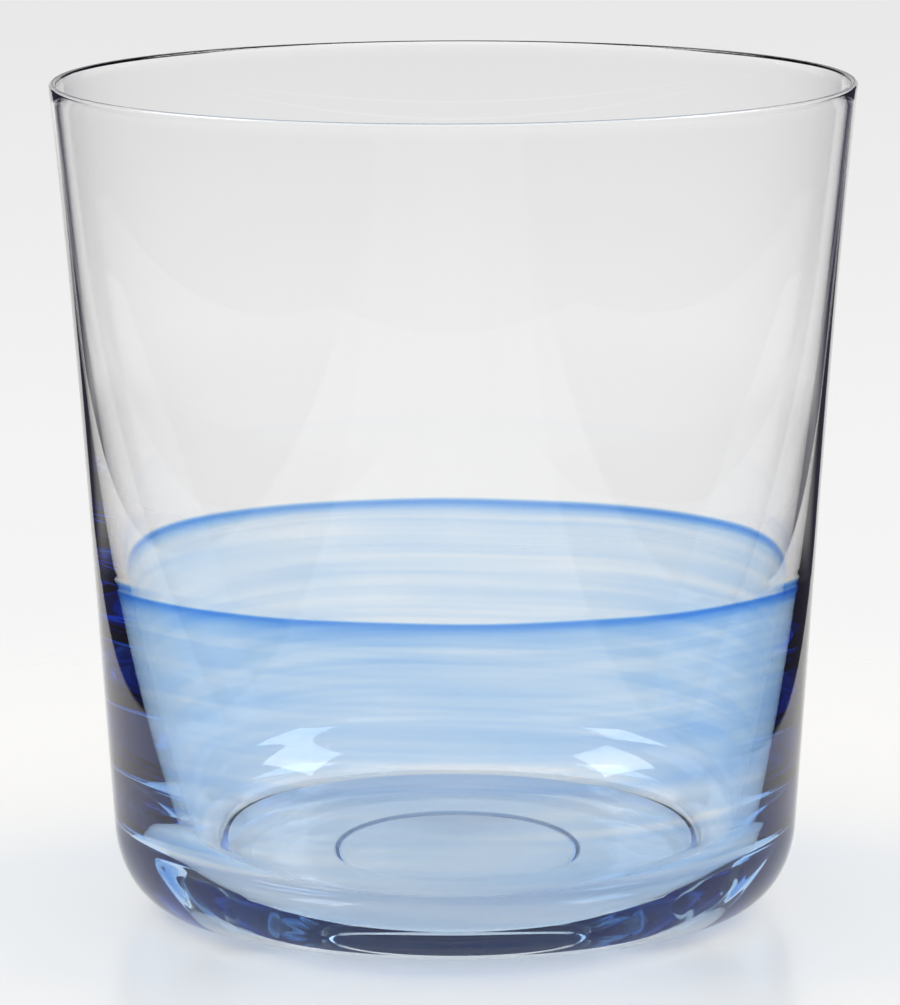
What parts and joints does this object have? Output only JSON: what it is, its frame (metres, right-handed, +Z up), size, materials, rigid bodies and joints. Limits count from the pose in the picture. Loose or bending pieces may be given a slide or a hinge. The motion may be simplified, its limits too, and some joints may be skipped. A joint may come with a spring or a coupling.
{
  "type": "tumbler",
  "caption": "Round flared glass tumbler with a thick rounded heel, a thin fire-polished rim and a cased blue layer in its lower wall, for drinks.",
  "frame": {"origin": "centre of the foot ring, on the surface that the tumbler stands on", "axes": "+Z up along the tumbler's axis; +X to the right and +Y away from the viewer in the picture, though the form is round"},
  "size_m": [0.09, 0.09, 0.0933],
  "materials": {
    "clear_glass": "fire-polished, clear",
    "blue_glass": "clear blue, in streaks"
  },
  "bodies": {
    "root": {"clear_body": "clear_glass", "blue_layer": "blue_glass", "clear_casing": "clear_glass"}
  },
  "joints": []
}
